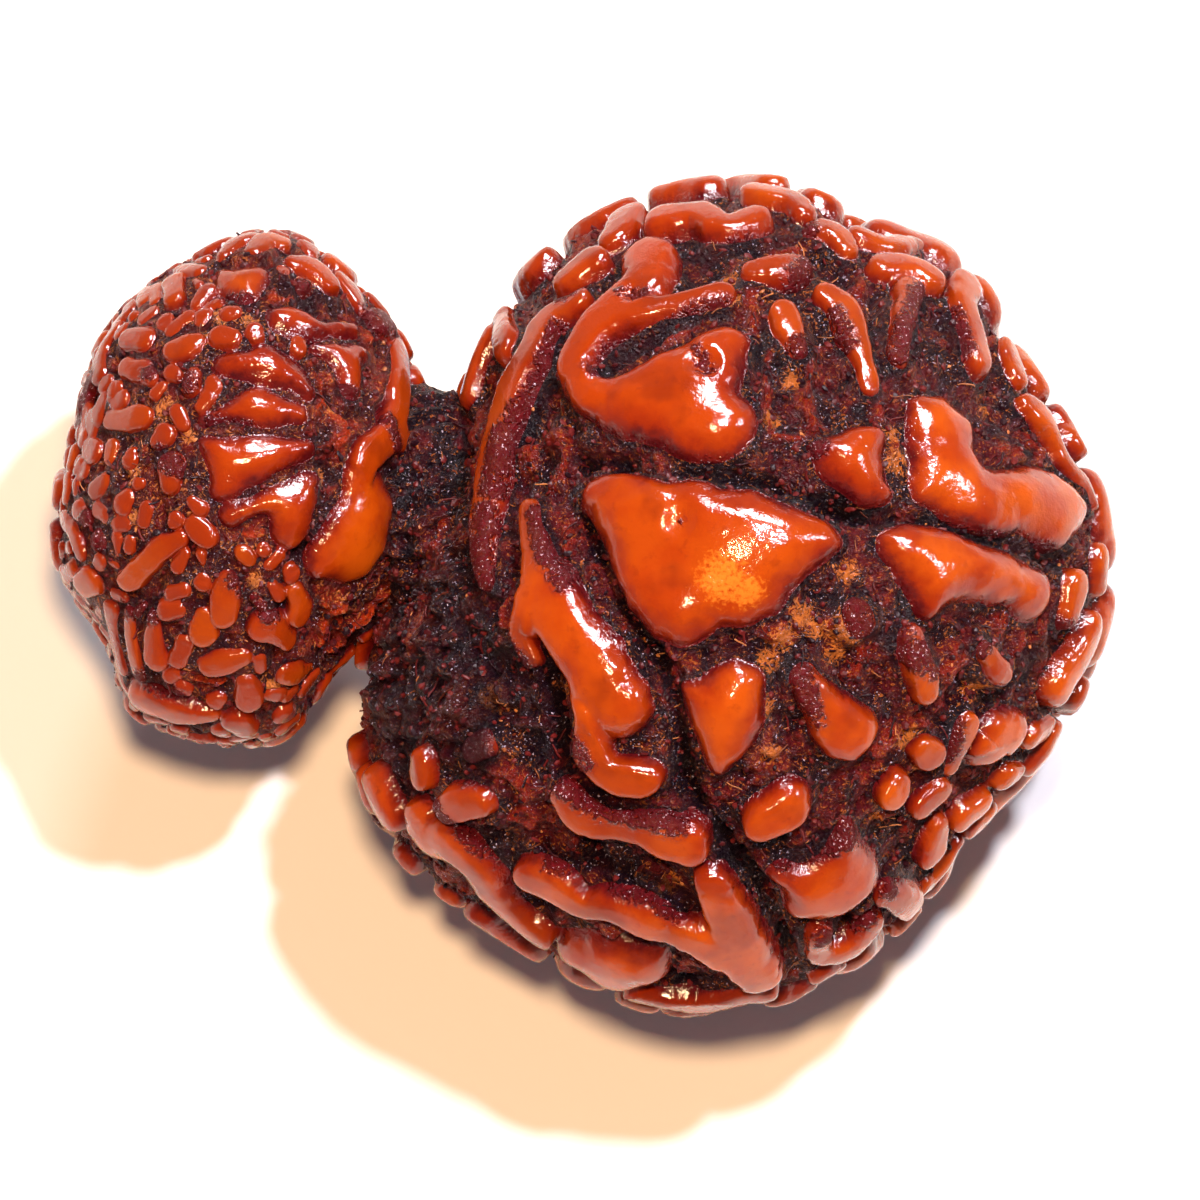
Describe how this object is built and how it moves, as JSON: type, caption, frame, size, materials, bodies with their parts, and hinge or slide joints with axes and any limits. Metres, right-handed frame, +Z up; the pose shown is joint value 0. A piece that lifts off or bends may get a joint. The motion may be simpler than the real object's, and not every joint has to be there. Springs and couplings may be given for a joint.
{
  "type": "rudraksha seed",
  "caption": "Twin rudraksha seed: a large and a small stony seed grown together, with glossy worm-like lobes over rough dark ground.",
  "frame": {"origin": "on the surface the seed lies on, under the middle of its outline", "axes": "+Z up; +X along the twin's length, from the small seed to the large one; the face leans back from +Z towards -Y"},
  "size_m": [0.032, 0.0252, 0.0213],
  "materials": {
    "seed": "glossy orange-brown lobes over dark rough ground"
  },
  "bodies": {
    "root": {"rudraksha_seed": "seed"}
  },
  "joints": []
}
